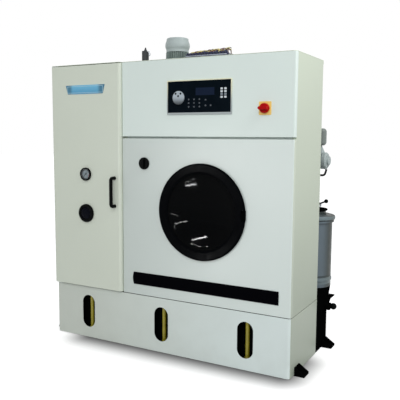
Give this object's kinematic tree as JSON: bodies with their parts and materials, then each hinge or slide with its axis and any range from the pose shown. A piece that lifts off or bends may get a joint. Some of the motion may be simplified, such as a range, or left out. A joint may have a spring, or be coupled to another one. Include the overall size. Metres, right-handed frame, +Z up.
{
  "type": "dry cleaning machine",
  "caption": "Front-loading solvent dry cleaning machine: cabinet with round glass door, drum and belt drive, left column with still, base tank and rear filter.",
  "frame": {"origin": "on the floor, at the middle of the width and of the solvent tank and base cover from front to rear", "axes": "+X to the right seen from the front, +Y into the machine, +Z up"},
  "size_m": [1.8233, 1.048, 1.9333],
  "materials": {
    "ivory": "satin powder coat, pale grey-green",
    "ivory_shade": "satin powder coat",
    "black_paint": "satin black enamel",
    "motor_grey": "grey enamel on ribbed casting",
    "slate": "blue-grey enamel",
    "black_plastic": "moulded, slightly glossy",
    "gloss_black": "gloss black",
    "blue": "printed plate",
    "dial": "printed scale",
    "navy": "dark blue, glossy",
    "key": "moulded",
    "yellow": "moulded",
    "red": "moulded",
    "tube_plastic": "coloured air tube",
    "clear_glass": "clear",
    "smoked_glass": "dark, polished",
    "brass": "polished",
    "steel": "brushed stainless",
    "cast_iron": "grey paint on casting",
    "rubber": "matt"
  },
  "bodies": {
    "frame": {"base_tank": "black_paint", "base_cover": "ivory_shade", "sight_tube_left": "brass", "sight_tube_centre": "brass", "sight_tube_right": "brass", "cleanout_cover": "black_paint", "drain_valve": "black_paint", "side_panel": "ivory", "column_cabinet": "ivory", "top_panel": "ivory", "upper_front_panel": "ivory", "lower_front_panel": "ivory", "accent_stripe": "gloss_black", "column_hinge_lower": "steel", "column_hinge_upper": "steel", "still_vessel": "steel", "control_bezel": "steel", "control_face": "navy", "keypad": "key", "switch_plate": "yellow", "door_hinge": "black_paint", "door_seal": "rubber", "tub": "steel", "bearing_housing": "cast_iron", "drive_belt": "rubber", "drive_motor": "motor_grey", "rear_frame": "black_paint", "filter_bracket": "black_paint", "filter_body": "slate", "filter_lid": "slate", "pump_motor": "motor_grey", "pump_pipe": "rubber", "air_receiver": "cast_iron", "lever_valve": "steel", "fan_motor": "motor_grey", "fan_cowl": "motor_grey", "fan_scroll": "steel", "valve_bank": "navy", "air_tubes": "tube_plastic", "inlet_valve": "black_plastic"},
    "column_door": {"column_door": "ivory", "column_handle": "black_plastic", "front_plate": "blue", "gauge_case": "black_plastic", "gauge_dial": "dial", "gauge_lens": "clear_glass", "sight_port_ring": "black_plastic", "sight_port_glass": "smoked_glass"},
    "gauge_needle": {"gauge_needle": "black_plastic"},
    "loading_door": {"door_ring": "black_plastic", "door_glass": "smoked_glass"},
    "lock_knob": {"lock_knob": "black_plastic"},
    "drum": {"drum": "steel", "drum_pulley": "cast_iron"},
    "motor_pulley": {"motor_pulley": "cast_iron"},
    "switch_knob": {"switch_knob": "red"},
    "selector_dial": {"selector_dial": "steel"},
    "filter_handwheel": {"filter_handwheel": "black_paint"},
    "valve_lever": {"valve_lever": "black_plastic"},
    "drain_valve_knob": {"drain_valve_knob": "black_plastic"}
  },
  "joints": [
    {"name": "column_door_hinge", "type": "hinge", "parent": "frame", "child": "column_door", "pos_m": [-0.833, -0.35, 1.075], "axis": [0, 0, 1], "range_deg": [-110, 0]},
    {"name": "gauge_needle_turn", "type": "hinge", "parent": "column_door", "child": "gauge_needle", "pos_m": [-0.56, -0.3778, 1.101], "axis": [0, 1, 0], "range_deg": [0, 270], "stiffness_Nm_per_rad": 0.001},
    {"name": "loading_door_hinge", "type": "hinge", "parent": "frame", "child": "loading_door", "pos_m": [0.558, -0.3605, 0.905], "axis": [0, 0, 1], "range_deg": [0, 130]},
    {"name": "lock_knob_turn", "type": "hinge", "parent": "frame", "child": "lock_knob", "pos_m": [-0.12, -0.35, 1.181], "axis": [0, 1, 0], "range_deg": [0, 90]},
    {"name": "drum_spin", "type": "hinge", "parent": "frame", "child": "drum", "pos_m": [0.281, -0.35, 0.905], "axis": [0, 1, 0], "continuous": true},
    {"name": "motor_pulley_spin", "type": "hinge", "parent": "frame", "child": "motor_pulley", "pos_m": [-0.155, 0.252, 0.455], "axis": [0, 1, 0], "continuous": true},
    {"name": "switch_turn", "type": "hinge", "parent": "frame", "child": "switch_knob", "pos_m": [0.671, -0.35, 1.50175], "axis": [0, 1, 0], "range_deg": [0, 90]},
    {"name": "selector_turn", "type": "hinge", "parent": "frame", "child": "selector_dial", "pos_m": [0.127, -0.35, 1.57075], "axis": [0, 1, 0], "range_deg": [0, 300]},
    {"name": "handwheel_turn", "type": "hinge", "parent": "frame", "child": "filter_handwheel", "pos_m": [0.691, 0.482, 0.8583], "axis": [0, 0, 1], "range_deg": [0, 360]},
    {"name": "lever_turn", "type": "hinge", "parent": "frame", "child": "valve_lever", "pos_m": [0.766, 0.293, 0.915], "axis": [0, 1, 0], "range_deg": [0, 90]},
    {"name": "drain_turn", "type": "hinge", "parent": "frame", "child": "drain_valve_knob", "pos_m": [0.8393, 0.3, 0.266], "axis": [1, 0, 0], "range_deg": [0, 360]}
  ],
  "couplings": [
    {"joint": "motor_pulley_spin", "follows": "drum_spin", "ratio": 4.5435}
  ]
}
